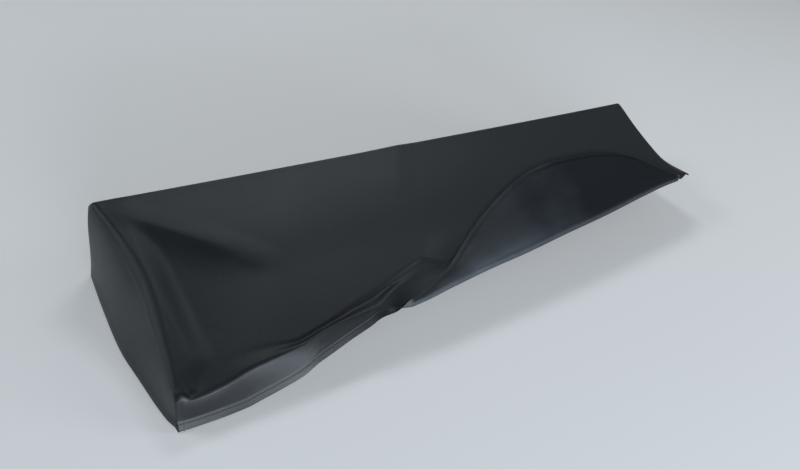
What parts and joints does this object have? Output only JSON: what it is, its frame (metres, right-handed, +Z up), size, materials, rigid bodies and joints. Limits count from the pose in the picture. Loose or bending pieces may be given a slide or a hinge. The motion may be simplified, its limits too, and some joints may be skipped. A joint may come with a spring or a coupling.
{
  "type": "keyboard dust cover",
  "caption": "Fitted dust cover for a long slim instrument keyboard, sloping to the front, with its front right part folded back over the top.",
  "frame": {"origin": "at the mount that holds the cover up: on the inner face of the top, at the middle of its length and depth", "axes": "+X along the length, from the closed left end toward the right end; +Y toward the back, where the cover is highest; +Z up"},
  "size_m": [0.9961, 0.3256, 0.1196],
  "materials": {
    "cover_cloth": "matt woven charcoal cloth"
  },
  "bodies": {
    "root": {"dust_cover": "cover_cloth"}
  },
  "joints": []
}
